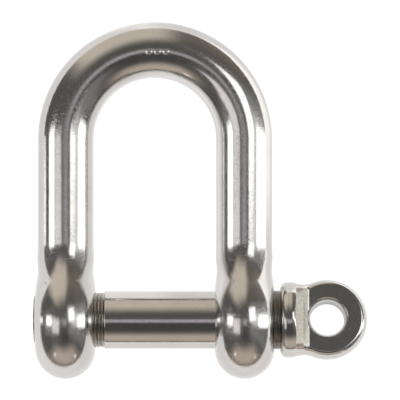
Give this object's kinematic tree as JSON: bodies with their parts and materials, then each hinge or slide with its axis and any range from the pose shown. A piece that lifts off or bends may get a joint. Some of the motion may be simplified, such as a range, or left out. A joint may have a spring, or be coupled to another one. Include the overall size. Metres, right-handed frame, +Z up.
{
  "type": "screw pin dee shackle",
  "caption": "Straight shackle: a round bar bent to a U with forged ears, closed by a screw pin with a collar and a flat eye for a lanyard or key.",
  "frame": {"origin": "on the flat surface the shackle lies on, under the middle of the whole part", "axes": "+X along the pin towards its eye, +Y from the pin towards the crown, +Z up from the surface; the pin axis is level and 10.5 mm above it"},
  "size_m": [0.0594, 0.0634, 0.021],
  "materials": {
    "body_steel": "polished",
    "pin_shank_steel": "satin",
    "pin_head_steel": "polished"
  },
  "bodies": {
    "body": {"shackle_body": "body_steel"},
    "shank": {"pin_shank": "pin_shank_steel"},
    "head": {"pin_head": "pin_head_steel"}
  },
  "joints": [
    {"name": "pin_travel", "type": "slide", "parent": "body", "child": "shank", "axis": [1, 0, 0], "range_m": [-0.001, 0.0445]},
    {"name": "pin_turn", "type": "hinge", "parent": "shank", "child": "head", "pos_m": [-0.00813, -0.02119, 0.0105], "axis": [1, 0, 0], "range_deg": [-240, 10680]}
  ],
  "couplings": [
    {"joint": "pin_turn", "follows": "pin_travel", "rad_per_m": 4188.8}
  ]
}
